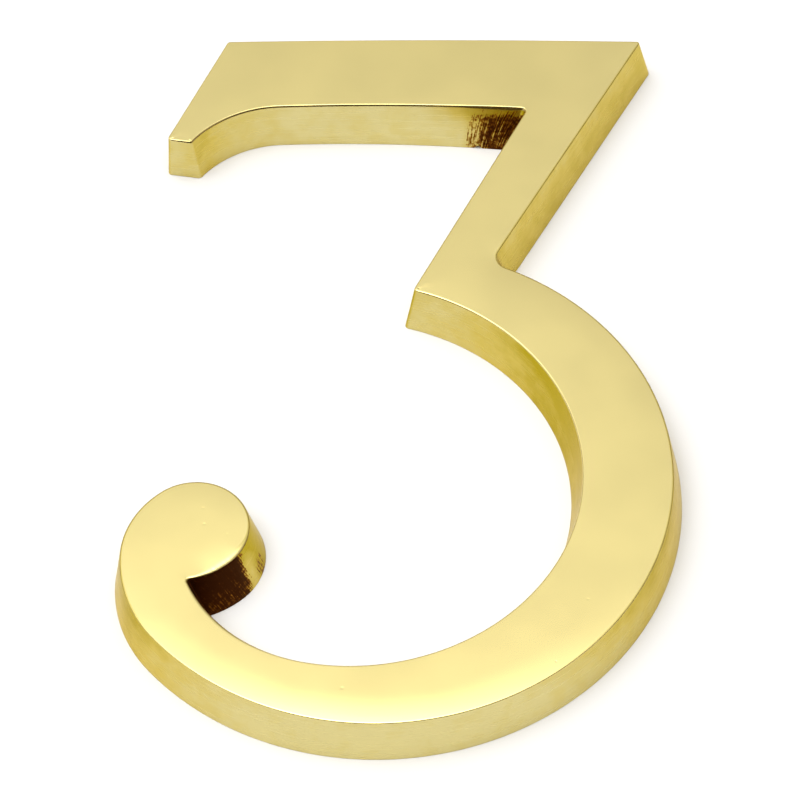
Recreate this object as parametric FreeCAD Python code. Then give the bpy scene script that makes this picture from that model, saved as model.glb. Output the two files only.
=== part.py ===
import FreeCAD, Part
import math
import os

# A cast brass door number: a flat-topped figure 3 with a ball terminal, leaning walls and a flat back.
# All sizes are in millimetres. Sizes across the figure are those of its polished face. The walls lean
# outward from there to the back. The figure is drawn with its bowl's centre line at x = 0 and the
# lowest point of the face at y = 0, and it is then set down on its back about the origin.

# Whole casting
number_height = 101.6
thickness = 6.0
wall_lean_deg = 9.8
inner_wall_lean_deg = 12.5
edge_round = 0.3

# Bowl
bowl_radius = 33.35
bowl_side_width = 10.35
bowl_bottom_width = 7.45
inner_upper_radius = 28.1
hook_start_deg = 11.0
hook_radius = 18.8

# Ball terminal and the curl that leads to it
ball_radius = 6.33
ball_setback = 1.82
ball_rise = 3.7
curl_setback = 4.2
curl_drop = 11.05
chin_start_deg = 45.5
chin_radius = 9.6
crotch_round = 0.25
ball_wall_lean_deg = 12.7

# Diagonal
foot_offset = 2.9
foot_lean_deg = 25.0
foot_wall_lean_deg = 7.0
heel_offset = 12.0
heel_lean_deg = 27.1
heel_round = 1.85

# Bar and its serif
bar_depth = 10.61
bar_top_radius = 1100.0
bar_top_crest = 6.0
top_wall_lean_deg = 8.7
bar_under_radius = 300.0
bar_under_crest = -1.4
bar_under_foot_radius = 195.0
bar_under_wall_lean_deg = 10.5
bar_left = 21.0
bar_end_lean_deg = 22.6
bar_end_wall_lean_deg = 1.5
serif_drop = 16.15
serif_end_fall_deg = 9.0
serif_end_wall_lean_deg = 6.0
serif_width = 3.0
serif_radius = 13.7
inner_corner_round = 0.5
outer_corner_round = 0.5
bar_corner_face_round = 0.35
bar_corner_back_round = 0.9

# Two blind tapped holes in the back, on one upright line, for hidden fixing studs
stud_hole_radius = 1.65
stud_hole_floor = 1.0
drill_point_deg = 118.0

# Points nearer to each other than this are the same
same_place = 1e-4


def spread_of(lean_deg):
    """How far the foot of a leaning wall stands out from the face's edge."""
    return thickness * math.tan(math.radians(lean_deg))


wall_spread = spread_of(wall_lean_deg)
inner_wall_spread = spread_of(inner_wall_lean_deg)
top_wall_spread = spread_of(top_wall_lean_deg)
under_wall_spread = spread_of(bar_under_wall_lean_deg)
ball_wall_spread = spread_of(ball_wall_lean_deg)
face_top = number_height - wall_spread - top_wall_spread

UP = FreeCAD.Vector(0, 1, 0)
DOWN = FreeCAD.Vector(0, -1, 0)
LEFT = FreeCAD.Vector(-1, 0, 0)
RIGHT = FreeCAD.Vector(1, 0, 0)
OUT_OF_FACE = FreeCAD.Vector(0, 0, 1)


def point(x, y):
    return FreeCAD.Vector(x, y, 0)


def heading(angle_deg):
    """Unit vector at an angle from +X, turning towards +Y."""
    angle = math.radians(angle_deg)
    return point(math.cos(angle), math.sin(angle))


class Straight:
    """A straight stretch of the face's outline, walked with the metal on its left.

    The foot of its wall stands out by spread at the back.
    """

    def __init__(self, start, direction, spread):
        self.start = start
        self.direction = direction
        self.spread = spread

    def foot(self):
        outward = point(self.direction.y, -self.direction.x)
        return Straight(self.start + outward * self.spread, self.direction, 0)

    def edge(self, first, last):
        return Part.LineSegment(first, last).toShape()


class Round:
    """A round stretch of the face's outline, with the spread of its wall at the back.

    A bulging one has its centre on the metal's side, and a hollow one has it outside. The foot of its
    wall can be set over to one side.
    """

    def __init__(self, centre, radius, bulging, spread, set_over=FreeCAD.Vector(0, 0, 0)):
        self.centre = centre
        self.radius = radius
        self.bulging = bulging
        self.spread = spread
        self.set_over = set_over

    def foot(self):
        growth = self.spread if self.bulging else -self.spread
        return Round(self.centre + self.set_over, self.radius + growth, self.bulging, 0)

    def edge(self, first, last):
        start = math.atan2(first.y - self.centre.y, first.x - self.centre.x)
        stop = math.atan2(last.y - self.centre.y, last.x - self.centre.x)
        turn = (stop - start) % (2 * math.pi)
        if not self.bulging:
            turn -= 2 * math.pi
        middle = self.centre + heading(math.degrees(start + turn / 2)) * self.radius
        return Part.Arc(first, middle, last).toShape()


def bulge(centre, radius):
    return Round(centre, radius, True, wall_spread)


def hollow(centre, radius):
    return Round(centre, radius, False, inner_wall_spread)


def straight_crossings(a, b):
    across = point(-b.direction.y, b.direction.x)
    travel = (b.start - a.start).dot(across) / a.direction.dot(across)
    return [a.start + a.direction * travel]


def straight_round_crossings(line, arc):
    along = (arc.centre - line.start).dot(line.direction)
    nearest = line.start + line.direction * along
    half_chord = math.sqrt(arc.radius ** 2 - (nearest - arc.centre).Length ** 2)
    return [nearest + line.direction * half_chord, nearest - line.direction * half_chord]


def round_crossings(a, b):
    """Both crossings of two circles, or twice the one point where they touch."""
    gap = (b.centre - a.centre).Length
    towards = (b.centre - a.centre).normalize()
    along = (a.radius ** 2 - b.radius ** 2 + gap ** 2) / (2 * gap)
    half_chord = math.sqrt(max(a.radius ** 2 - along ** 2, 0))
    across = point(-towards.y, towards.x)
    foot = a.centre + towards * along
    return [foot + across * half_chord, foot - across * half_chord]


def crossing(a, b, towards):
    """The crossing of two stretches that lies furthest in the given direction."""
    if isinstance(a, Straight) and isinstance(b, Straight):
        found = straight_crossings(a, b)
    elif isinstance(a, Straight):
        found = straight_round_crossings(a, b)
    elif isinstance(b, Straight):
        found = straight_round_crossings(b, a)
    else:
        found = round_crossings(a, b)
    return max(found, key=lambda spot: spot.dot(towards))


def bowl_stretches():
    """The outer edge of the bowl and its inner edge, which turns in two radii and ends in a hook."""
    centre = point(0, bowl_radius)
    inner_side = bowl_radius - bowl_side_width
    lower_radius = bowl_radius - bowl_bottom_width
    lower_centre = point(inner_side - lower_radius, bowl_radius)
    upper_centre = point(inner_side - inner_upper_radius, bowl_radius)
    hook_centre = lower_centre + heading(270 - hook_start_deg) * (lower_radius - hook_radius)
    return {
        "outer": bulge(centre, bowl_radius),
        "inner_upper": hollow(upper_centre, inner_upper_radius),
        "inner_lower": hollow(lower_centre, lower_radius),
        "hook": hollow(hook_centre, hook_radius),
    }


def curl_stretches():
    """The ball, its flatter chin, and the two arcs that run from the bowl round to the ball.

    The two arcs meet at the curl's leftmost point. Each has the radius at which it also touches its
    own circle, the bowl's or the ball's, which lies a setback to the right or left of that point.
    The foot of the ball's wall is set over to the right, so that it touches the foot of the curl's.
    """
    leftmost = point(curl_setback - bowl_radius, bowl_radius - curl_drop)
    ball_centre = leftmost + point(ball_setback + ball_radius, ball_rise)
    chin_centre = ball_centre + heading(-chin_start_deg) * (ball_radius - chin_radius)
    lower_radius = bowl_radius - curl_setback / 2 - curl_drop ** 2 / (2 * curl_setback)
    upper_radius = ball_radius + ball_setback / 2 + ball_rise ** 2 / (2 * ball_setback)
    upper_centre = leftmost + RIGHT * upper_radius
    set_over = (upper_centre - ball_centre).normalize() * (ball_wall_spread - wall_spread)
    return {
        "chin": Round(chin_centre, chin_radius, True, ball_wall_spread, set_over),
        "ball": Round(ball_centre, ball_radius, True, ball_wall_spread, set_over),
        "curl_upper": bulge(upper_centre, upper_radius),
        "curl_lower": bulge(leftmost + RIGHT * lower_radius, lower_radius),
    }


def bar_stretches():
    """The bar's slightly bowed top and underside, its leaning end and the serif that hangs from it."""
    top_centre = point(bar_top_crest, face_top - bar_top_radius)
    top = Round(top_centre, bar_top_radius, True, top_wall_spread)
    under_centre = point(bar_under_crest, face_top - bar_depth - bar_under_radius)
    under = Round(under_centre, bar_under_radius, False, under_wall_spread)
    end_direction = heading(270 - bar_end_lean_deg)
    end = Straight(point(-bar_left, face_top), end_direction, spread_of(bar_end_wall_lean_deg))
    tip = end.start + end_direction * (serif_drop / math.cos(math.radians(bar_end_lean_deg)))
    serif_end = Straight(tip, heading(-serif_end_fall_deg), spread_of(serif_end_wall_lean_deg))
    serif_heel = tip + serif_end.direction * serif_width
    touching_under = hollow(under_centre, bar_under_radius - serif_radius)
    through_heel = hollow(serif_heel, serif_radius)
    serif_centre = crossing(touching_under, through_heel, RIGHT)
    return {
        "top": top,
        "end": end,
        "serif_end": serif_end,
        "serif": Round(serif_centre, serif_radius, False, under_wall_spread),
        "under": under,
    }


def feet_of(stretches):
    return {name: stretch.foot() for name, stretch in stretches.items()}


def bar_feet(bar):
    """The feet of the bar's walls. The one under the bar leans out more towards the inner corner."""
    feet = feet_of(bar)
    to_serif = (bar["serif"].centre - bar["under"].centre).normalize()
    serif_root = feet["under"].centre + to_serif * feet["under"].radius
    feet["under"] = hollow(serif_root - to_serif * bar_under_foot_radius, bar_under_foot_radius)
    return feet


def diagonal_stretches(bowl):
    """The two sides of the diagonal, from the bowl's inner and outer edges up to the bar."""
    foot_line = Straight(point(foot_offset, 0), UP, 0)
    foot = crossing(foot_line, bowl["inner_upper"], UP)
    heel_line = Straight(point(heel_offset, 0), UP, 0)
    heel = crossing(heel_line, bowl["outer"], UP)
    return {
        "left": Straight(foot, heading(270 - foot_lean_deg), spread_of(foot_wall_lean_deg)),
        "right": Straight(heel, heading(90 - heel_lean_deg), wall_spread),
    }


def outline_of(bowl, curl, bar, diagonal):
    """The stretches of an outline in order, each with the way to look for its first corner."""
    return [
        (bar["end"], UP),
        (bar["serif_end"], DOWN),
        (bar["serif"], LEFT),
        (bar["under"], UP),
        (diagonal["left"], UP),
        (bowl["inner_upper"], UP),
        (bowl["inner_lower"], UP),
        (bowl["hook"], DOWN),
        (curl["chin"], DOWN),
        (curl["ball"], DOWN),
        (curl["curl_upper"], UP),
        (curl["curl_lower"], LEFT),
        (bowl["outer"], DOWN),
        (diagonal["right"], UP),
        (bar["top"], UP),
    ]


def corners_of(outline):
    """The corner at the start of each stretch."""
    return [crossing(outline[i - 1][0], outline[i][0], outline[i][1]) for i in range(len(outline))]


def closed_wire(outline, height):
    """The outline as one wire, at a height above the back."""
    corners = corners_of(outline)
    followers = corners[1:] + corners[:1]
    edges = [stretch.edge(first, last) for (stretch, _), first, last in zip(outline, corners, followers)]
    wire = Part.Wire(edges)
    wire.translate(OUT_OF_FACE * height)
    return wire


def corner_edges(solid, spots):
    """The solid's edges that run up the walls from the given points of the back."""
    return [edge for edge in solid.Edges
            if any((vertex.Point - spot).Length < same_place for vertex in edge.Vertexes for spot in spots)
            and edge.BoundBox.ZLength > thickness / 2]


def face_edges(solid):
    return [edge for edge in solid.Edges
            if edge.BoundBox.ZMin > thickness - same_place]


def stud_hole(x, y):
    """A blind hole from the back, with the cone that the drill leaves at its bottom."""
    cone_height = stud_hole_radius / math.tan(math.radians(drill_point_deg / 2))
    depth = thickness - stud_hole_floor - cone_height
    barrel = Part.makeCylinder(stud_hole_radius, depth, point(x, y))
    cone_base = point(x, y) + OUT_OF_FACE * depth
    return barrel.fuse(Part.makeCone(stud_hole_radius, 0, cone_height, cone_base))


def door_number():
    bowl = bowl_stretches()
    curl = curl_stretches()
    bar = bar_stretches()
    diagonal = diagonal_stretches(bowl)
    face = outline_of(bowl, curl, bar, diagonal)
    back = outline_of(feet_of(bowl), feet_of(curl), bar_feet(bar), feet_of(diagonal))
    solid = Part.makeLoft([closed_wire(back, 0), closed_wire(face, thickness)], True, True)

    names = ["bar_left", "serif_tip", "serif_heel", "serif_root", "inner_corner", "foot",
             "inner_side", "hook_root", "crotch", "chin_root", "ball_root", "curl_left",
             "curl_root", "heel", "bar_right"]
    corner = dict(zip(names, corners_of(back)))
    rounds = [
        (outer_corner_round, ["bar_left", "serif_tip", "serif_heel", "foot"]),
        (inner_corner_round, ["inner_corner"]),
        (heel_round, ["heel"]),
        (crotch_round, ["crotch"]),
    ]
    for radius, places in rounds:
        solid = solid.makeFillet(radius, corner_edges(solid, [corner[place] for place in places]))
    bar_corner = corner_edges(solid, [corner["bar_right"]])
    solid = solid.makeFillet(bar_corner_back_round, bar_corner_face_round, bar_corner)
    solid = solid.makeFillet(edge_round, face_edges(solid))

    bar_middle = face_top - bar_depth / 2
    bowl_bottom_middle = bowl_bottom_width / 2
    for height in (bar_middle, bowl_bottom_middle):
        solid = solid.cut(stud_hole(0, height))

    box = solid.optimalBoundingBox(False)
    solid.translate(point(-box.Center.x, -box.Center.y))
    return solid


os.makedirs("parts", exist_ok=True)
number = door_number()
number.exportStep("parts/door_number.step")
print("valid", number.isValid(), "solids", len(number.Solids), "volume", round(number.Volume, 1))
print("box", number.optimalBoundingBox(False))
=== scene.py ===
import math

import bmesh
import bpy
import numpy as np
from mathutils import Matrix, Vector, noise
from mathutils.geometry import delaunay_2d_cdt
from mathutils.kdtree import KDTree

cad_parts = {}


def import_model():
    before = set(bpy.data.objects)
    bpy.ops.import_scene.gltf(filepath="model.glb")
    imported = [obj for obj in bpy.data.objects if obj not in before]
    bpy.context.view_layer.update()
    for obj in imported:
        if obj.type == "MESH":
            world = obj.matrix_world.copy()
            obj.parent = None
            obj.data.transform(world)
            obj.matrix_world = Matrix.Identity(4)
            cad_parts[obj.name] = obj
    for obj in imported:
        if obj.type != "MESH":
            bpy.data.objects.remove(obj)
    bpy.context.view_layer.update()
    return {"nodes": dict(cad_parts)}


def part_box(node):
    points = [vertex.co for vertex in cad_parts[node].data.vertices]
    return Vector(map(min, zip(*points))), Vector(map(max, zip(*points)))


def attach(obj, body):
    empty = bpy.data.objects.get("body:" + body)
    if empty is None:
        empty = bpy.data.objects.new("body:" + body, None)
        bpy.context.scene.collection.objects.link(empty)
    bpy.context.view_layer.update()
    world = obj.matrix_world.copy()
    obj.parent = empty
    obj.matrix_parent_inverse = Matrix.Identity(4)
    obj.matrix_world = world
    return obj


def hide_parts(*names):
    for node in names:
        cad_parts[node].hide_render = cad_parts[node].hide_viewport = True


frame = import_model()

# Units and tolerances: shapes are worked out in millimetres and stored in metres
MM = 0.001
WELD = 1e-7

# Outline of the casting, in mm
CORNER_LIMIT = 3.0        # a bend tighter than this radius is a corner
CORNER_GAP = 1.0
COLUMN_STEP = 0.3         # spacing of the wall's columns
FINE_STEP = 0.12          # spacing of the columns where the file marks are
CORNER_PIECES = 3         # columns on each chord of a corner
BACK_STEP = 0.05
SHORTEST_CHORD = 0.03
GUESS_WEIGHT = 0.5        # weight of the first guess of the outline's heading
STRAIGHT_WEIGHT = 10.0
LIKE_LENGTHS = 2.5        # the guess counts only between chords of about the same length
RUN_IN = 4.0              # stretch beside a corner where the columns fan out evenly
FOOT_REACH = 1.0          # a column's foot is sought from this far outside its sharp edge

# Edges and face, in mm
FACE_INSET = 0.25         # the flat face of the solid starts this far inside its sharp edge
CROWN_REACH = 3.7         # the polished face falls towards its edges over this width
BACK_EDGE = 0.07
WALL_ROWS = 12
EDGE_ROWS = 10
BACK_EDGE_ROWS = 3
FACE_RINGS = (0.12, 0.3, 0.55, 0.9)
FACE_GRID = 0.7
BACK_GRID = 2.5
FILL_TOLERANCE = 1e-7
RING_SLACK = 0.97         # share of its inset that a ring of points keeps from every edge
NEAR_SHARE = 0.9          # share of the gap to the nearest column that counts as depth
SETTLE = 1.0              # one edge's finish turns into the next over this length
SETTLE_REACH = 3          # how many such lengths count on either side

# How each stretch was finished, in order from the ball:
# - how far the sharp edge stands out from the flat face's outline
# - the width of the edge's round on the face, and down the wall
# - how full that round is, from a flat bevel at 0 to a round at 1
# - how far the face falls towards the edge where that faces the foot of the figure
# - the depth of the wall's gold, painted as reflection and shade, where it faces the foot of the figure,
#   and where it faces sideways
# - how much deeper that painted shade is at the top of a wall that faces sideways than at its foot
# - the share of deep gold, painted as a dark reflection, on the edge's round where it faces sideways
# Lengths are in mm.
EDGE_FINISH = {
    "round the ball and the bowl": (0.25, 0.15, 0.16, 1.0, 0.160, 0.00, 0.50, 0.5, 0.6),
    "right of the diagonal": (0.25, 0.12, 0.14, 1.0, 0.030, 0.50, 0.50, -0.15, 0.8),
    "along the top": (0.25, 0.13, 0.15, 1.0, 0.020, 0.20, 0.50, 0.2, 0.0),
    "end of the bar": (0.25, 0.15, 0.15, 1.0, 0.020, 0.20, 0.50, 0.2, 0.0),
    "end of the serif": (0.35, 0.16, 0.28, 0.3, 0.020, 0.14, 0.30, 0.0, 0.0),
    "under the bar": (0.25, 0.14, 0.22, 0.3, 0.010, 0.06, 0.60, 0.3, 0.0),
    "left of the diagonal": (0.25, 0.12, 0.14, 1.0, 0.020, 0.30, 0.60, 0.2, 0.3),
    "inside the bowl": (0.25, 0.16, 0.18, 0.8, 0.040, 0.20, 0.68, 0.4, 0.0),
}

# Short stretches with a finish of their own: where each comes in and goes out along the edge past a
# tight corner, in mm, and its values
CHIN_STRETCH = ((0.8, 4.0), (6.0, 10.0))        # on the ball, past the crotch
CHIN_FINISH = (0.25, 0.75, 0.28, 1.0, 0.12, 0.00, 0.50, 0.5, 0.0)
HOOK_STRETCH = ((-16.0, -8.0), (-2.0, 0.0))     # inside the bowl, before the crotch
HOOK_FINISH = (0.25, 0.34, 0.30, 1.0, 0.05, 0.12, 0.80, 0.5, 0.0)
TUCK_STRETCH = ((-9.0, -2.5), (-1.0, 0.0))      # under the bar, before its inner corner
TUCK_FINISH = (0.25, 0.16, 0.50, 0.3, 0.01, 0.06, 0.60, 0.3, 0.0)

# How the finish follows the way that a wall faces: a facing is the share of its outward direction
# that points to the foot of the figure, or to its left or right
FALL_FACING = (0.45, 0.97)      # the face falls in full where its edge faces the foot
SIDE_FALL = 0.3                 # and by this share where it faces elsewhere
EASE_FACING = (0.1, 0.6)
LEFT_EASE = 0.3                 # share of the fall that is missing where the edge faces left
CROTCH_FLAT = 2.5               # length beside the crotch, in mm, where the face hardly falls
CROTCH_EASE = 0.9
FOOT_FACING = (0.35, 0.97)      # below this a wall faces sideways
TURN_FACING = (0.3, 0.9)
# Walls that face left or right get their gold painted deeper, as reflection and shade.
LEFT_FACING_SHADE = 0.35                # how much deeper the gold is on walls that face left
RIGHT_FACING_SHADE = 0.05               # and right
# The tops of walls that face sideways get their gold painted deeper, as shade.
TOP_SHADE_RISE = (2.5, 6.0)           # heights, in mm, between which the gold deepens
TOP_SHADE_SHIFT = 0.25                # share of that taken off again over the whole wall
# The edges' rounds get deep gold painted on, as a dark reflection.
EDGE_REFLECTION_DEEP = 0.9                 # depth of the gold on the edges' rounds

# Tapped holes in the back, in mm
THREAD_PITCH = 0.7
THREAD_DEPTH = 0.3
THREAD_STEPS = 8
HOLE_SIDES = 48
MOUTH_CHAMFER = 0.35
DRILL_POINT = math.radians(118)
POINT_RINGS = (0.5, 0.05)
HOLE_SEARCH = 2.0
# The gold inside the holes is painted deeper, as shade.
HOLE_SHADE_DEEP = 0.6           # depth of the gold inside

# Camera: seen from this azimuth and elevation, with the photo's slight roll
AZIMUTH = math.radians(4.201)
ELEVATION = math.radians(53.145)
ROLL = math.radians(-3.112)
TARGET = Vector((-0.587, -1.219, 0.0)) * MM
DISTANCE = 489.44 * MM
LENS = 187.64

# Brass: colours, with the sides' by the depth of their gold and the stains' by their cover. The sides are
# the filed brass's own duller gold, deepened by painted reflection and shade.
FACE_GOLD = (0.878, 0.737, 0.308)
SIDE_GOLDS = ((0.0, (0.675, 0.588, 0.262)), (0.5, (0.615, 0.483, 0.108)), (1.0, (0.43, 0.325, 0.010)))
EDGE_TINT = (1.0, 0.91, 0.68)
STAINS = ((0.0, (0.50, 0.28, 0.03)), (0.45, (0.19, 0.065, 0.006)), (1.0, (0.040, 0.008, 0.001)))
STAIN_START = (0.0, 0.3)

# Brass: noises, by their scale per mm along the edge and up the wall, or per metre, and their detail
BRUSHED = (0.10, 5.0, 4.0)
FILED = (6.0, 0.25, 3.0)
CLOUD = (130.0, 3.0)
BLOTCH = (450.0, 3.0)
MOTTLE = (2500.0, 2.0)
GRAIN = (9000.0, 2.0)
USUAL = (0.3, 0.7)              # the range that most of a noise keeps to
WIDE = (0.25, 0.75)

# Brass: what the noises change
BRUSHED_DEEP = 0.04
BLOTCH_DEEP = 0.09
CLOUD_TONE = (0.988, 1.008)
FILED_COVER = 0.26
MOTTLE_COVER = 0.13
COVER_RANGE = (0.38, 0.92)
FACE_ROUGH = (0.21, 0.24)
SIDE_ROUGH = (0.26, 0.33)
STAIN_ROUGH = 0.2
BRUSHED_RELIEF = 0.25
GRAIN_RELIEF = 0.06
BUMP_STRENGTH = 0.15
BUMP_DISTANCE = 0.015 * MM

# Residue left in the two tight corners: stretches are measured along the edge from each corner, and
# heights up the wall, in mm
BAR_STRETCH = ((-5.0, -3.0), (6.5, 8.0))
BAR_COVER = 0.47
BAR_MORE = 0.30                 # added beside the corner, within this stretch
BAR_MORE_FADE = (3.0, 6.5)
BAR_TOP = (4.4, 5.4)            # heights over which it thins towards the edge
BAR_TOP_LOSS = 0.50
BALL_STRETCH = ((-2.2, -0.8), (5.9, 7.9))
BALL_COVER = 0.90
BALL_MORE = 0.20                # added from the foot up, over these heights
BALL_MORE_RISE = (0.5, 4.5)
PATCH_AT = 9.0                  # a smaller patch on the ball, low on the wall
PATCH_WIDTH = 1.0
PATCH_COVER = 0.6
PATCH_TOP = (2.0, 3.4)
RESIDUE_DEEP = 0.6              # how much deeper the gold is between the streaks

# Painted shade and reflection: stretches where the gold is painted deeper, measured the same way
PAINTED_SHADE_DEEP = 0.55
PAINTED_SHADE_BAR = ((-1.0, 0.5), (6.0, 15.0))
PAINTED_SHADE_BAR_RISE = (3.2, 5.4)
PAINTED_SHADE_BALL = ((7.5, 10.0), (13.0, 18.0))
PAINTED_SHADE_SERIF = ((27.0, 36.0), (43.0, 45.0))
SERIF_SHARE = 0.35

# File marks in the tight corners, and a nick in the foot under the bar, in mm
MARKED_BALL = (-2.0, 14.0)      # stretches with fine columns
MARKED_BAR = (-11.0, 2.0)
MARK_PITCH = 0.3
MARK_DRIFT = 0.3                # how fast the marks change up the wall
MARK_MEAN = 0.5
MARK_DEPTH = 0.025
MARK_LEAN = 0.33
LEAN_FADE_BAR = (2.0, 12.0)
LEAN_FADE_BALL = (2.0, 16.0)
NOTCH_PLACE = (7.85, 37.5)
NOTCH_WIDTH = 0.35
NOTCH_RISE = 0.5
NOTCH_REACH = 2.0

# Casting pits in the face: x, y and radius, in mm
FACE_PITS = (
    (-22.20, -21.14, 0.22),
    (-21.95, -23.36, 0.26),
    (-19.27, -24.73, 0.16),
    (-5.46, -45.28, 0.28),
    (21.53, -33.27, 0.22),
    (18.03, -41.54, 0.18),
)
PIT_DEPTH = 0.009
PIT_RINGS = (0.25, 0.5, 0.75, 1.0, 1.3)
PIT_SIDES = 12

# Light: radiance of the surroundings by height, from the horizon to overhead, warmer where it is dim,
# and the brown of the dark room in front
SKY_LEAN = -0.2
SKY = ((0.0, 0.16), (0.35, 0.42), (0.743, 0.72), (0.80, 0.86), (0.848, 1.11), (0.875, 1.36), (0.90, 2.2),
       (0.93, 3.3), (1.0, 4.0))
DIM_BELOW = 0.7
DIM_GREEN_LOSS = 0.35
DIM_BLUE_LOSS = 0.75
FRONT = (0.35, 0.80)
FRONT_BROWN = (0.060, 0.040, 0.014)

# Lamp and floor, in metres
SOFTBOX_SIZE = 0.5
SOFTBOX_WATTS = 1.0
SOFTBOX_PLACE = Vector((-0.1, -0.25, 0.75))
FLOOR_SIZE = 4.0
FLOOR_GAP = 0.02 * MM
FLOOR_WHITE = (0.89, 0.89, 0.89)


class Outline:
    """A closed outline of straight runs and arcs, known by points on it, measured by its length."""

    def __init__(self, points):
        lengths, _, bends = curve_of(points)
        self.points = np.roll(points, -first_chord(points, lengths, bends), axis=0)
        self.lengths, self.headings, self.bends = curve_of(self.points)
        self.starts = np.concatenate([[0.0], np.cumsum(self.lengths)])
        corner = corner_chords(self.lengths, self.bends)
        changes = np.flatnonzero(np.diff(corner.astype(int))) + 1
        self.knots = np.concatenate([[0.0], self.starts[changes], self.starts[-1:]])
        self.corner = corner

    def corners(self):
        """Middle of each corner along the outline, its place, and whether it is a hollow one."""
        found = []
        for start, end in zip(self.knots[0:-1:2], self.knots[1::2]):
            inside = (self.starts[:-1] >= start - WELD) & (self.starts[:-1] < end - WELD)
            place = self.points[inside].mean(axis=0)
            found.append(((start + end) / 2, place, self.bends[inside].sum() < 0))
        return found

    def sample(self, step_at):
        """Places, outward directions and lengths along the outline, at about the given spacing."""
        places, headings, along = [], [], []
        following = np.roll(self.points, -1, axis=0)
        for k, length in enumerate(self.lengths):
            pieces = math.ceil(length / step_at(self.starts[k] + length / 2))
            pieces = max(pieces, CORNER_PIECES if self.corner[k] else 1)
            share = np.arange(pieces) / pieces
            heading = self.headings[k] + self.bends[k] * share
            ends = self.headings[k], self.headings[k] + self.bends[k]
            places.append(hermite(self.points[k], following[k], ends, length, share))
            headings.append(heading)
            along.append(self.starts[k] + length * share)
        headings = np.concatenate(headings)
        outward = np.column_stack([np.sin(headings), -np.cos(headings)])
        return np.concatenate(places), outward, np.concatenate(along)


def hermite(start, end, headings, length, share):
    """Points on the smooth curve between two points with the given headings."""
    first, last = (length * np.array([math.cos(h), math.sin(h)]) for h in headings)
    t = share[:, None]
    near = (2 * t**3 - 3 * t**2 + 1) * start + (t**3 - 2 * t**2 + t) * first
    far = (3 * t**2 - 2 * t**3) * end + (t**3 - t**2) * last
    return near + far


def curve_of(points):
    """Chord lengths, the curve's heading at each point, and its bend along each chord.

    Each chord spans one arc, so the curve leaves it and meets it at the same angle. A chord that is
    unlike both its neighbours in length is straight."""
    chords = np.roll(points, -1, axis=0) - points
    lengths = np.linalg.norm(chords, axis=1)
    chord_headings = np.unwrap(np.arctan2(chords[:, 1], chords[:, 0]))
    last_headings = np.roll(chord_headings, 1)
    last_headings[0] -= 2 * math.pi
    last_lengths = np.roll(lengths, 1)
    guess = (last_headings * lengths + chord_headings * last_lengths) / (lengths + last_lengths)
    alike = np.maximum(lengths / last_lengths, last_lengths / lengths) < LIKE_LENGTHS
    weight = np.where(alike, GUESS_WEIGHT, 0.0)
    straight = (~alike & ~np.roll(alike, -1) & (lengths > CORNER_GAP)) * STRAIGHT_WEIGHT
    each = np.eye(len(points))
    following = np.roll(each, 1, axis=1)
    wanted = 2 * chord_headings
    wanted[-1] -= 2 * math.pi
    turn = np.zeros(len(points))
    turn[-1] = -2 * math.pi
    hold = np.minimum(lengths / CORNER_GAP, 1.0)
    system = np.vstack([hold[:, None] * (each + following), np.diag(weight),
                        straight[:, None] * (following - each)])
    target = np.concatenate([hold * wanted, weight * guess, straight * turn])
    headings = np.linalg.lstsq(system, target, rcond=None)[0]
    bends = np.diff(np.concatenate([headings, headings[:1] + 2 * math.pi]))
    return lengths, headings, bends


def corner_chords(lengths, bends):
    """Which chords lie in a corner, with any short one between two of them."""
    corner = np.abs(bends) > lengths / CORNER_LIMIT
    between = np.roll(corner, 1) & np.roll(corner, -1) & (lengths < CORNER_GAP)
    return corner | between


def first_chord(points, lengths, bends):
    """The chord that starts the lowest hollow corner, where the ball meets the stroke."""
    corner = corner_chords(lengths, bends)
    hollow = np.flatnonzero(corner & (bends < 0))
    chord = hollow[np.argmin(points[hollow, 1])]
    while corner[chord - 1]:
        chord -= 1
    return chord


def flat_loops(node, height):
    """Outlines, in mm, of the node's flat faces at one height, the longest first."""
    bm = bmesh.new()
    bm.from_mesh(node.data)
    bmesh.ops.remove_doubles(bm, verts=bm.verts[:], dist=WELD)
    level = [face for face in bm.faces if all(abs(v.co.z - height) < WELD for v in face.verts)]
    flat = dict.fromkeys(level)     # keeps the mesh's own order, which is the same in every run
    follows = {}
    for face in flat:
        for corner in face.loops:
            if sum(other in flat for other in corner.edge.link_faces) == 1:
                follows[corner.vert] = corner.link_loop_next.vert
    loops = []
    while follows:
        start, vert = follows.popitem()
        points = [start.co.xy]
        while vert is not start:
            points.append(vert.co.xy)
            vert = follows.pop(vert)
        loops.append(without_short_chords(np.array(points) / MM))
    bm.free()
    loops.sort(key=lambda p: -np.linalg.norm(np.roll(p, -1, axis=0) - p, axis=1).sum())
    return [anticlockwise(p) for p in loops]


def without_short_chords(points):
    """The points from the end of the longest chord on, without any that crowd the one before."""
    chords = np.linalg.norm(points - np.roll(points, 1, axis=0), axis=1)
    points = np.roll(points, -np.argmax(chords), axis=0)
    kept = [points[0]]
    for point in points[1:]:
        if min(np.linalg.norm(point - kept[-1]), np.linalg.norm(point - kept[0])) > SHORTEST_CHORD:
            kept.append(point)
    return np.array(kept)


def anticlockwise(points):
    following = np.roll(points, -1, axis=0)
    area = (points[:, 0] * following[:, 1] - points[:, 1] * following[:, 0]).sum()
    return points if area > 0 else points[::-1]


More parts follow.
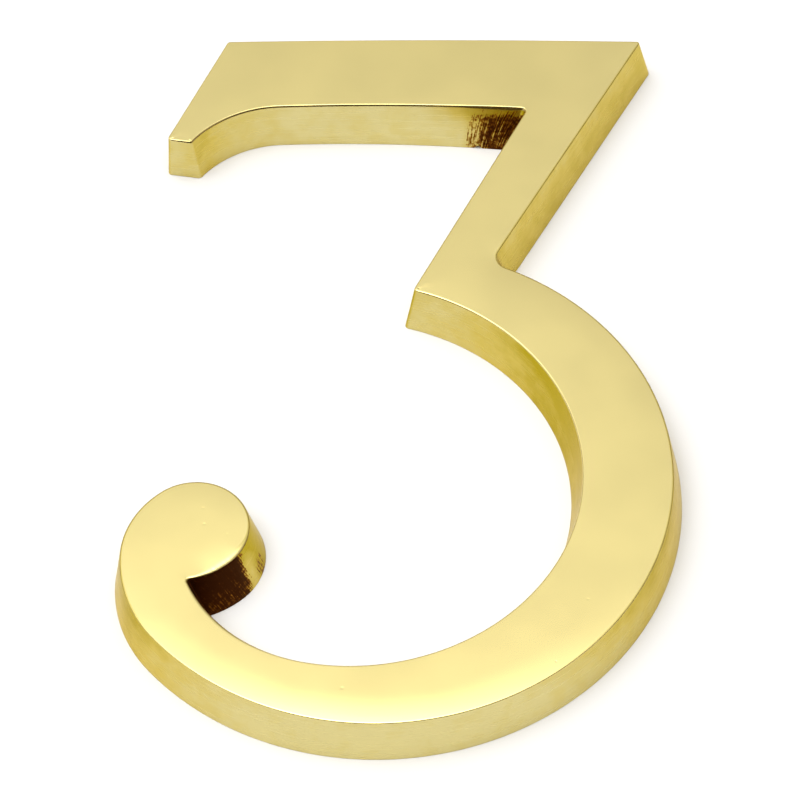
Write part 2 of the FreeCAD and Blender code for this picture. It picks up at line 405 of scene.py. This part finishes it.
def feet(face, places, outward, along, back):
    """Places and outward directions on the back outline at the foot of each column of the wall."""
    low, low_outward, low_along = back.sample(lambda s: BACK_STEP)
    below = np.interp(along, face.knots, back.knots)
    reach = places + outward * (FACE_INSET + FOOT_REACH)
    for j in range(1, len(face.knots) - 1, 2):
        start, end = face.knots[j], face.knots[j + 1]
        middle = (along > start + RUN_IN) & (along < end - RUN_IN)
        if not middle.any():
            continue
        choice = np.flatnonzero((low_along >= back.knots[j]) & (low_along <= back.knots[j + 1]))
        gaps = np.linalg.norm(reach[middle][:, None, :] - low[choice][None, :, :], axis=2)
        nearest = choice[np.argmin(gaps, axis=1)]
        ahead = np.column_stack([-low_outward[nearest, 1], low_outward[nearest, 0]])
        level = low_along[nearest] + ((reach[middle] - low[nearest]) * ahead).sum(axis=1)
        stretch = (along >= start) & (along <= end)
        known = np.concatenate([[start], along[middle], [end]])
        values = np.concatenate([back.knots[j:j + 1], level, back.knots[j + 1:j + 2]])
        below[stretch] = np.interp(along[stretch], known, values)
    low_along = np.append(low_along, back.knots[-1])
    low = np.vstack([low, low[:1]])
    low_outward = np.vstack([low_outward, low_outward[:1]])
    return look_up(below, low_along, low), unit(look_up(below, low_along, low_outward))


def look_up(wanted, along, values):
    """Values at the wanted lengths, between those known along an outline."""
    return np.column_stack([np.interp(wanted, along, column) for column in values.T])


def unit(vectors):
    return vectors / np.linalg.norm(vectors, axis=1)[:, None]


def smooth_step(low, high, value):
    t = np.clip((value - low) / (high - low), 0.0, 1.0)
    return t * t * (3 - 2 * t)


def on_stretch(value, come_in, go_out):
    """1 on a stretch that comes in and goes out smoothly, 0 elsewhere."""
    return smooth_step(*come_in, value) * (1 - smooth_step(*go_out, value))


def crown(depth, drop):
    """How far the face has fallen, at a distance in from its sharp edge."""
    return drop * np.clip(1 - depth / CROWN_REACH, 0, None) ** 2


def bend(start, corner, end, count, full=1.0):
    """Rows of points that leave start for the corner and arrive at end, on a round or a flat bevel."""
    full = np.broadcast_to(full, len(start))[:, None]
    rows = []
    for t in np.linspace(0, 1, count + 1):
        near, middle, far = (1 - t) ** 2, 2 * t * (1 - t) * full, t**2
        rows.append((near * start + middle * corner + far * end) / (near + middle + far))
    return rows


def with_height(places, heights):
    return np.column_stack([places, np.broadcast_to(heights, len(places))])


class Wall:
    """The leaning wall round the casting, in columns from its sharp edge down to its foot."""

    def __init__(self, node):
        low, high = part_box("door_number")
        self.thickness = high.z / MM
        face = Outline(flat_loops(node, high.z)[0])
        self.back_loops = flat_loops(node, low.z)
        back = Outline(self.back_loops[0])
        hollows = sorted((c for c in face.corners() if c[2]), key=lambda c: c[1][1])
        self.crotch, _, self.inner = (c[0] for c in hollows)
        self.length = face.knots[-1]
        places, self.outward, self.along = face.sample(self.step_at)
        stand_out, self.on_face, self.on_wall, self.full, drop, *painted_tones = self.finish(face)
        self.top = places + self.outward * stand_out[:, None]
        self.foot, self.foot_outward = feet(face, places, self.outward, self.along, back)
        self.drop = drop * self.fall()
        self.deep, self.top_deep, self.edge = self.gold(*painted_tones)

    def fall(self):
        """The share of its fall that the face has at each column."""
        share = SIDE_FALL + (1 - SIDE_FALL) * smooth_step(*FALL_FACING, -self.outward[:, 1])
        share *= 1 - LEFT_EASE * smooth_step(*EASE_FACING, -self.outward[:, 0])
        near_crotch = np.exp(-((self.past(self.crotch, self.along) / CROTCH_FLAT) ** 2))
        return share * (1 - CROTCH_EASE * near_crotch)

    def gold(self, front, side, top, edge):
        """Painted reflection and shade: the depth of the wall's gold by the way it faces, what its top
        adds, and the share of deep gold on its edge.
        """
        sideways = 1 - smooth_step(*FOOT_FACING, -self.outward[:, 1])
        deep = front + (side - front) * sideways
        deep += LEFT_FACING_SHADE * smooth_step(*TURN_FACING, -self.outward[:, 0])
        deep += RIGHT_FACING_SHADE * smooth_step(*TURN_FACING, self.outward[:, 0])
        return deep, top * sideways, edge * sideways

    def past(self, corner, along):
        """Length along the edge past a corner, negative before it."""
        half = self.length / 2
        return (along - corner + half) % self.length - half

    def step_at(self, along):
        on_ball = MARKED_BALL[0] < self.past(self.crotch, along) < MARKED_BALL[1]
        on_bar = MARKED_BAR[0] < self.past(self.inner, along) < MARKED_BAR[1]
        return FINE_STEP if on_ball or on_bar else COLUMN_STEP

    def finish(self, face):
        """The values of EDGE_FINISH at each column, settled from one stretch to the next."""
        finishes = np.array(list(EDGE_FINISH.values()))
        grid = np.arange(0, self.length, COLUMN_STEP)
        stretch = np.searchsorted(face.knots[1::2], grid, side="right") - 1
        chosen = finishes[stretch]
        crotch, inner = self.past(self.crotch, grid), self.past(self.inner, grid)
        for past, short, values in ((crotch, CHIN_STRETCH, CHIN_FINISH),
                                    (crotch, HOOK_STRETCH, HOOK_FINISH),
                                    (inner, TUCK_STRETCH, TUCK_FINISH)):
            chosen = chosen + (np.array(values) - chosen) * on_stretch(past, *short)[:, None]
        reach = int(SETTLE_REACH * SETTLE / COLUMN_STEP)
        weights = np.exp(-0.5 * (np.arange(-reach, reach + 1) * COLUMN_STEP / SETTLE) ** 2)
        around = np.vstack([chosen[-reach:], chosen, chosen[:reach]])
        settled = [np.convolve(column, weights / weights.sum(), "valid") for column in around.T]
        return [np.interp(self.along, grid, column, period=self.length) for column in settled]

    def rows(self):
        """Rows of the section from the flat back, up the wall and over the edge on to the face."""
        back_rim = with_height(self.foot - self.foot_outward * BACK_EDGE, 0.0)
        foot = with_height(self.foot, 0.0)
        sharp = with_height(self.top, self.thickness - crown(0.0, self.drop))
        up = sharp - foot
        up = up / np.linalg.norm(up, axis=1)[:, None]
        low = foot + up * BACK_EDGE
        high = sharp - up * self.on_wall[:, None]
        rim = self.top - self.outward * self.on_face[:, None]
        rim = with_height(rim, self.thickness - crown(self.on_face, self.drop))
        rows = bend(back_rim, foot, low, BACK_EDGE_ROWS)
        for share in np.linspace(0, 1, WALL_ROWS + 1)[1:]:
            rows.append(low + (high - low) * share)
        rows += bend(high, sharp, rim, EDGE_ROWS, self.full)[1:]
        return [self.worn(row) for row in rows]

    def worn(self, row):
        """A row with the file marks in the tight corners and the nick in the foot under the bar."""
        rise = row[:, 2]
        marks = [noise.noise((m / MARK_PITCH, MARK_DRIFT * r, 0)) for m, r in zip(self.mark(rise), rise)]
        filed = MARK_DEPTH * (MARK_MEAN + np.array(marks)) * self.residue(rise)
        row[:, :2] -= self.outward * filed[:, None]
        nick = np.exp(-(np.linalg.norm(self.foot - NOTCH_PLACE, axis=1) / NOTCH_WIDTH) ** 2)
        row[:, 2] += NOTCH_RISE * nick * np.clip(1 - rise / NOTCH_REACH, 0, 1) ** 2
        return row

    def mark(self, rise):
        """Place along the edge as the file marks see it: they lean away from each tight corner."""
        bar = 1 - smooth_step(*LEAN_FADE_BAR, np.abs(self.past(self.inner, self.along)))
        ball = 1 - smooth_step(*LEAN_FADE_BALL, np.abs(self.past(self.crotch, self.along)))
        return self.along + MARK_LEAN * (bar - ball) * (self.thickness - rise)

    def residue(self, rise):
        """How much brown residue is left, from none at 0 to a full cover at 1."""
        before = -self.past(self.inner, self.mark(rise))
        bar = on_stretch(before, *BAR_STRETCH)
        bar = bar * (BAR_COVER + BAR_MORE * (1 - smooth_step(*BAR_MORE_FADE, before)))
        bar = bar * (1 - BAR_TOP_LOSS * smooth_step(*BAR_TOP, rise))
        past = self.past(self.crotch, self.along)
        ball = BALL_COVER + BALL_MORE * smooth_step(*BALL_MORE_RISE, rise)
        ball = ball * on_stretch(past, *BALL_STRETCH)
        patch = PATCH_COVER * np.exp(-(((past - PATCH_AT) / PATCH_WIDTH) ** 2))
        patch = patch * (1 - smooth_step(*PATCH_TOP, rise))
        return np.maximum(np.maximum(bar, ball), patch)

    def painted_shade(self, rise):
        """Painted shade and reflection: how much deeper the gold is painted under the bar, on the ball's
        right side and by the serif.
        """
        before = -self.past(self.inner, self.along)
        bar = on_stretch(before, *PAINTED_SHADE_BAR) * smooth_step(*PAINTED_SHADE_BAR_RISE, rise)
        ball = on_stretch(self.past(self.crotch, self.along), *PAINTED_SHADE_BALL)
        serif = SERIF_SHARE * on_stretch(before, *PAINTED_SHADE_SERIF)
        return bar + ball + serif


class Edge:
    """Distances in from a closed row of points with their outward directions."""

    def __init__(self, places, outward):
        self.places = places
        self.outward = outward
        self.tree = KDTree(len(places))
        for index, place in enumerate(places):
            self.tree.insert((*place, 0.0), index)
        self.tree.balance()

    def nearest(self, points):
        return np.array([self.tree.find((*p, 0.0))[1] for p in points])

    def depth(self, points):
        """How far each point lies in from the edge; negative outside it."""
        near = self.nearest(points)
        gap = points - self.places[near]
        inward = -(gap * self.outward[near]).sum(axis=1)
        return np.sign(inward) * np.maximum(np.abs(inward), np.linalg.norm(gap, axis=1) * NEAR_SHARE)


class Skin:
    """The visible surface: its vertices in mm, its faces, and values kept for the material."""

    # deep is the depth of the gold: painted reflection and shade, and the residue's own darkening
    VALUES = ("wall", "deep", "mark", "rise", "residue")

    def __init__(self):
        self.places = np.zeros((0, 3))
        self.values = {name: np.zeros(0) for name in self.VALUES}
        self.faces = []

    def add(self, places, **values):
        first = len(self.places)
        self.places = np.vstack([self.places, places])
        for name, kept in self.values.items():
            new = np.broadcast_to(values.get(name, 0.0), len(places))
            self.values[name] = np.concatenate([kept, new])
        return first

    def band(self, lower, upper, count):
        """Quads between two closed rows of vertices."""
        for i in range(count):
            j = (i + 1) % count
            self.faces.append((lower + i, lower + j, upper + j, upper + i))

    def fill(self, rims, inner, heights, down=False, holes=()):
        """Triangles between closed rows of vertices that are there already, through inner points."""
        rim_ids = [np.arange(first, first + count) for first, count in rims]
        first_inner = self.add(with_height(inner, heights), rise=heights)
        ids = np.concatenate(rim_ids + [np.arange(first_inner, first_inner + len(inner))])
        edges = []
        start = 0
        for _, count in rims:
            edges += [(start + i, start + (i + 1) % count) for i in range(count)]
            start += count
        flat = [Vector(self.places[i, :2]) for i in ids]
        found, _, triangles, sources, _, _ = delaunay_2d_cdt(flat, edges, [], 1, FILL_TOLERANCE)
        for triangle in triangles:
            middle = sum((found[v] for v in triangle), Vector((0, 0))) / 3
            if any((middle - Vector(centre)).length < radius for centre, radius in holes):
                continue
            corners = [int(ids[sources[v][0]]) for v in triangle]
            self.faces.append(tuple(reversed(corners)) if down else tuple(corners))

    def object(self, name):
        mesh = bpy.data.meshes.new(name)
        mesh.from_pydata((self.places * MM).tolist(), [], self.faces)
        for key, kept in self.values.items():
            layer = mesh.attributes.new(key, "FLOAT", "POINT")
            layer.data.foreach_set("value", kept.astype(np.float32))
        mesh.shade_smooth()
        made = bpy.data.objects.new(name, mesh)
        bpy.context.scene.collection.objects.link(made)
        return made


def hex_grid(polygon, step):
    """Points of an even grid that lie inside the polygon."""
    low, high = polygon.min(axis=0), polygon.max(axis=0)
    rows = []
    for index, y in enumerate(np.arange(low[1], high[1], step * math.sqrt(3) / 2)):
        x = np.arange(low[0] + (index % 2) * step / 2, high[0], step)
        rows.append(np.column_stack([x, np.full(len(x), y)]))
    points = np.vstack(rows)
    return points[inside_polygon(points, polygon)]


def inside_polygon(points, polygon):
    """Whether each point lies inside the polygon, by counting the edges it sees to its right."""
    inside = np.zeros(len(points), bool)
    following = np.roll(polygon, -1, axis=0)
    for (x0, y0), (x1, y1) in zip(polygon, following):
        if y0 == y1:
            continue
        between = (y0 > points[:, 1]) != (y1 > points[:, 1])
        crossing = x0 + (points[:, 1] - y0) * (x1 - x0) / (y1 - y0)
        inside ^= between & (points[:, 0] < crossing)
    return inside


def pit_points():
    """Rings of points round each casting pit, so that the mesh can follow it."""
    turn = np.arange(PIT_SIDES) / PIT_SIDES * 2 * math.pi
    ring = np.column_stack([np.cos(turn), np.sin(turn)])
    points = []
    for x, y, radius in FACE_PITS:
        points.append([(x, y)])
        points += [(x, y) + ring * radius * share for share in PIT_RINGS]
    return np.vstack(points)


def pit_depth(points):
    depth = np.zeros(len(points))
    for x, y, radius in FACE_PITS:
        gap = np.linalg.norm(points - (x, y), axis=1) / radius
        depth += PIT_DEPTH * np.clip(1 - gap**2, 0, None) ** 2
    return depth


def add_wall(skin, wall):
    """The wall and its edges. Returns the first vertex of the back rim and of the face rim."""
    firsts = []
    for index, row in enumerate(wall.rows()):
        on_wall = index <= BACK_EDGE_ROWS + WALL_ROWS + 1
        rise = row[:, 2]
        residue = wall.residue(rise) * on_wall
        # The gold is painted deeper, as reflection and shade, by the way each wall faces, at the tops of
        # sideways walls, in the shaded stretches and on the edges' rounds; the residue deepens it too.
        deep = wall.deep + wall.top_deep * (smooth_step(*TOP_SHADE_RISE, rise) - TOP_SHADE_SHIFT)
        deep = deep + PAINTED_SHADE_DEEP * wall.painted_shade(rise) + RESIDUE_DEEP * residue
        # Where a round faces sideways its colour takes the painted deep gold of the wall, as a dark
        # reflection.
        side = 1.0 if on_wall else wall.edge
        deep = deep if on_wall else np.maximum(deep, EDGE_REFLECTION_DEEP)
        firsts.append(skin.add(row, wall=side, deep=deep, mark=wall.mark(rise), rise=rise, residue=residue))
    for lower, upper in zip(firsts, firsts[1:]):
        skin.band(lower, upper, len(wall.top))
    return firsts[0], firsts[-1]


def add_face(skin, wall, rim):
    """The polished face, lightly crowned, with a few casting pits."""
    count = len(wall.top)
    edge = Edge(wall.top, wall.outward)
    rim_places = skin.places[rim:rim + count, :2]
    points = [pit_points()]
    for inset in FACE_RINGS:
        ring = rim_places - wall.outward * inset
        points.append(ring[edge.depth(ring) > (wall.on_face + inset) * RING_SLACK])
    grid = hex_grid(rim_places, FACE_GRID)
    near = edge.nearest(grid)
    points.append(grid[edge.depth(grid) > wall.on_face[near] + FACE_RINGS[-1] + FACE_GRID / 2])
    points = np.vstack(points)
    fall = crown(edge.depth(points), wall.drop[edge.nearest(points)])
    skin.fill([(rim, count)], points, wall.thickness - fall - pit_depth(points))


def add_back(skin, wall, rim, node):
    """The flat back with its tapped holes."""
    count = len(wall.top)
    rims = [(rim, count)]
    holes = []
    for loop in wall.back_loops[1:]:
        centre = (loop.max(axis=0) + loop.min(axis=0)) / 2
        radius = np.linalg.norm(loop - centre, axis=1).mean()
        rims.append((add_hole(skin, centre, radius, hole_depth(node, centre)), HOLE_SIDES))
        holes.append((centre, radius + MOUTH_CHAMFER))
    rim_places = skin.places[rim:rim + count, :2]
    edge = Edge(rim_places, wall.foot_outward)
    grid = hex_grid(rim_places, BACK_GRID)
    grid = grid[edge.depth(grid) > BACK_GRID / 2]
    for centre, mouth in holes:
        grid = grid[np.linalg.norm(grid - centre, axis=1) > mouth + BACK_GRID / 2]
    skin.fill(rims, grid, np.zeros(len(grid)), down=True, holes=holes)


def hole_depth(node, centre):
    """Depth of the drilled cylinder at a place on the back: the lowest ring of vertices inside it."""
    heights = [v.co.z / MM for v in node.data.vertices
               if (v.co.xy / MM - Vector(centre)).length < HOLE_SEARCH and v.co.z > WELD]
    return min(heights)


def add_hole(skin, centre, radius, depth):
    """A tapped hole from its chamfered mouth to the drill's point. Returns the mouth's first vertex."""
    turn = np.arange(HOLE_SIDES) / HOLE_SIDES
    ring = np.column_stack([np.cos(turn * 2 * math.pi), -np.sin(turn * 2 * math.pi)])
    rows = [with_height(centre + ring * (radius + MOUTH_CHAMFER), 0.0)]
    for level in np.arange(MOUTH_CHAMFER, depth, THREAD_PITCH / THREAD_STEPS):
        phase = (level / THREAD_PITCH + turn) % 1.0
        groove = THREAD_DEPTH * (1 - np.abs(2 * phase - 1))
        groove = groove * smooth_step(0.0, THREAD_PITCH, depth - level)
        rows.append(with_height(centre + ring * (radius + groove)[:, None], level))
    rows.append(with_height(centre + ring * radius, depth))
    tip = depth + radius / math.tan(DRILL_POINT / 2)
    for share in POINT_RINGS:
        rows.append(with_height(centre + ring * radius * share, tip + (depth - tip) * share))
    firsts = [skin.add(row, wall=1.0, deep=HOLE_SHADE_DEEP, mark=turn, rise=row[:, 2]) for row in rows]
    for lower, upper in zip(firsts, firsts[1:]):
        skin.band(lower, upper, HOLE_SIDES)
    skin.faces.append(tuple(range(firsts[-1], firsts[-1] + HOLE_SIDES)))
    return firsts[0]


def brass_number(node):
    wall = Wall(node)
    skin = Skin()
    back_rim, face_rim = add_wall(skin, wall)
    add_face(skin, wall, face_rim)
    add_back(skin, wall, back_rim, node)
    made = skin.object("brass_number")
    made.data.materials.append(brass())
    return made


class Nodes:
    """Short calls that add nodes to a tree and join them."""

    def __init__(self, tree):
        self.tree = tree

    def add(self, kind, inputs=(), **settings):
        node = self.tree.nodes.new("ShaderNode" + kind)
        for name, value in settings.items():
            setattr(node, name, value)
        for name, value in dict(inputs).items():
            self.put(node.inputs[name], value)
        return node

    def put(self, socket, value):
        if isinstance(value, bpy.types.NodeSocket):
            self.tree.links.new(value, socket)
        else:
            socket.default_value = value

    def value(self, name):
        return self.add("Attribute", attribute_name=name).outputs["Fac"]

    def math(self, operation, first, second=0.0):
        return self.add("Math", {0: first, 1: second}, operation=operation).outputs[0]

    def range(self, value, low, high, to_low=0.0, to_high=1.0):
        inputs = {"Value": value, "From Min": low, "From Max": high, "To Min": to_low, "To Max": to_high}
        return self.add("MapRange", inputs, interpolation_type="SMOOTHSTEP").outputs["Result"]

    def mix(self, share, first, second):
        node = self.add("Mix", {"Factor": share}, data_type="RGBA")
        self.put(node.inputs["A"], first)
        self.put(node.inputs["B"], second)
        return node.outputs["Result"]

    def noise(self, vector, scale, detail):
        inputs = {"Vector": vector, "Scale": scale, "Detail": detail}
        return self.add("TexNoise", inputs).outputs["Fac"]

    def ramp(self, value, stops):
        node = self.add("ValToRGB", {"Fac": value})
        elements = node.color_ramp.elements
        elements[0].position = stops[0][0]
        elements[1].position = stops[-1][0]
        for position, _ in stops[1:-1]:
            elements.new(position)
        for element, (_, rgb) in zip(elements, stops):
            element.color = colour(rgb)
        return node.outputs["Color"]

    def vector(self, x, y, z=0.0):
        return self.add("CombineXYZ", {"X": x, "Y": y, "Z": z}).outputs["Vector"]

    def dot(self, first, second):
        return self.add("VectorMath", {0: first, 1: second}, operation="DOT_PRODUCT").outputs["Value"]


def colour(rgb):
    return (*rgb, 1.0)


def brass():
    """Hand-polished cast brass: a bright face, brushed sides whose gold carries painted reflection and
    shade, and brown residue in tight corners.
    """
    material = bpy.data.materials.new("brass")
    material.use_nodes = True
    n = Nodes(material.node_tree)
    shader = material.node_tree.nodes["Principled BSDF"]
    wall = n.value("wall")
    place = n.add("TexCoord").outputs["Object"]
    brushed, filed = along_wall(n, *BRUSHED), along_wall(n, *FILED)
    cloud = n.noise(place, *CLOUD)
    gold = brass_gold(n, wall, brushed, cloud, n.noise(place, *BLOTCH))
    cover = residue_cover(n, filed, n.noise(place, *MOTTLE))
    stained = n.mix(n.range(cover, *STAIN_START), gold, n.ramp(cover, STAINS))
    n.put(shader.inputs["Base Color"], stained)
    shader.inputs["Metallic"].default_value = 1.0
    shader.inputs["Specular Tint"].default_value = colour(EDGE_TINT)
    n.put(shader.inputs["Roughness"], brass_roughness(n, wall, brushed, cloud, cover))

    lines = n.math("MULTIPLY", n.math("MULTIPLY", brushed, wall), BRUSHED_RELIEF)
    marks = n.math("MULTIPLY", filed, cover)
    grain = n.math("MULTIPLY", n.noise(place, *GRAIN), GRAIN_RELIEF)
    relief = n.math("ADD", n.math("ADD", lines, marks), grain)
    bump = n.add("Bump", {"Height": relief, "Strength": BUMP_STRENGTH, "Distance": BUMP_DISTANCE})
    n.put(shader.inputs["Normal"], bump.outputs["Normal"])
    return material


def along_wall(n, along, up, detail):
    """Noise with its own scale along the edge and up the wall."""
    mark = n.math("MULTIPLY", n.value("mark"), along)
    rise = n.math("MULTIPLY", n.value("rise"), up)
    return n.noise(n.vector(mark, rise), 1.0, detail)


def brass_gold(n, wall, brushed, cloud, blotch):
    """Colour of the clean brass, on the face and down the sides, where the sides' gold carries painted
    reflection and shade.
    """
    deep = n.math("ADD", n.value("deep"), n.range(brushed, *USUAL, -BRUSHED_DEEP, BRUSHED_DEEP))
    deep = n.math("ADD", deep, n.range(blotch, *USUAL, -BLOTCH_DEEP, BLOTCH_DEEP))
    gold = n.mix(wall, colour(FACE_GOLD), n.ramp(deep, SIDE_GOLDS))
    tone = n.range(cloud, *USUAL, *CLOUD_TONE)
    return n.add("VectorMath", {0: gold, "Scale": tone}, operation="SCALE").outputs["Vector"]


def residue_cover(n, filed, mottle):
    """How far the residue hides the brass, in streaks."""
    streaks = n.range(filed, *WIDE, -FILED_COVER, FILED_COVER)
    uneven = n.math("ADD", streaks, n.range(mottle, *USUAL, -MOTTLE_COVER, MOTTLE_COVER))
    return n.range(n.math("ADD", n.value("residue"), uneven), *COVER_RANGE)


def brass_roughness(n, wall, brushed, cloud, cover):
    rough = n.add("Mix", {"Factor": wall}, data_type="FLOAT")
    n.put(rough.inputs["A"], n.range(cloud, *USUAL, *FACE_ROUGH))
    n.put(rough.inputs["B"], n.range(brushed, *USUAL, *SIDE_ROUGH))
    return n.math("ADD", rough.outputs["Result"], n.math("MULTIPLY", cover, STAIN_ROUGH))


def warm(level):
    """Light of a level, grey where it is bright and warmer where it is dim."""
    dim = max(0.0, 1 - level / DIM_BELOW)
    return level, level * (1 - DIM_GREEN_LOSS * dim), level * (1 - DIM_BLUE_LOSS * dim)


def world():
    """A pale studio: dim at the horizon, brightest overhead and to the left, brown in front."""
    made = bpy.data.worlds.new("studio")
    made.use_nodes = True
    bpy.context.scene.world = made
    n = Nodes(made.node_tree)
    direction = n.add("TexCoord").outputs["Generated"]
    height = n.dot(direction, Vector((SKY_LEAN, 0, 1)).normalized())
    sky = n.ramp(height, [(position, warm(level)) for position, level in SKY])
    in_front = n.range(n.dot(direction, (0, -1, 0)), *FRONT)
    background = made.node_tree.nodes["Background"]
    n.put(background.inputs["Color"], n.mix(in_front, sky, colour(FRONT_BROWN)))


def softbox():
    lamp = bpy.data.lights.new("softbox", "AREA")
    lamp.shape = "SQUARE"
    lamp.size = SOFTBOX_SIZE
    lamp.energy = SOFTBOX_WATTS
    made = bpy.data.objects.new("softbox", lamp)
    made.location = SOFTBOX_PLACE
    made.rotation_euler = (-made.location).to_track_quat("-Z", "Y").to_euler()
    bpy.context.scene.collection.objects.link(made)


def floor():
    half = FLOOR_SIZE / 2
    corners = [(x, y, -FLOOR_GAP) for x, y in ((-half, -half), (half, -half), (half, half), (-half, half))]
    mesh = bpy.data.meshes.new("floor")
    mesh.from_pydata(corners, [], [(0, 1, 2, 3)])
    material = bpy.data.materials.new("floor")
    material.use_nodes = True
    shader = material.node_tree.nodes["Principled BSDF"]
    shader.inputs["Base Color"].default_value = colour(FLOOR_WHITE)
    shader.inputs["Roughness"].default_value = 1.0
    shader.inputs["Specular IOR Level"].default_value = 0.0
    mesh.materials.append(material)
    made = bpy.data.objects.new("floor", mesh)
    bpy.context.scene.collection.objects.link(made)


def camera():
    level = math.cos(ELEVATION)
    back = Vector((math.sin(AZIMUTH) * level, -math.cos(AZIMUTH) * level, math.sin(ELEVATION)))
    right = Vector((math.cos(AZIMUTH), math.sin(AZIMUTH), 0))
    up = back.cross(right)
    rolled_right = right * math.cos(ROLL) + up * math.sin(ROLL)
    rolled_up = up * math.cos(ROLL) - right * math.sin(ROLL)
    data = bpy.data.cameras.new("camera")
    data.lens = LENS
    made = bpy.data.objects.new("camera", data)
    turn = Matrix((rolled_right, rolled_up, back)).transposed().to_4x4()
    made.matrix_world = Matrix.Translation(TARGET + back * DISTANCE) @ turn
    bpy.context.scene.collection.objects.link(made)
    bpy.context.scene.camera = made


number = brass_number(frame["nodes"]["door_number"])
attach(number, "root")
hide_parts("door_number")
floor()
world()
softbox()
camera()
bpy.context.scene.view_settings.view_transform = "Standard"
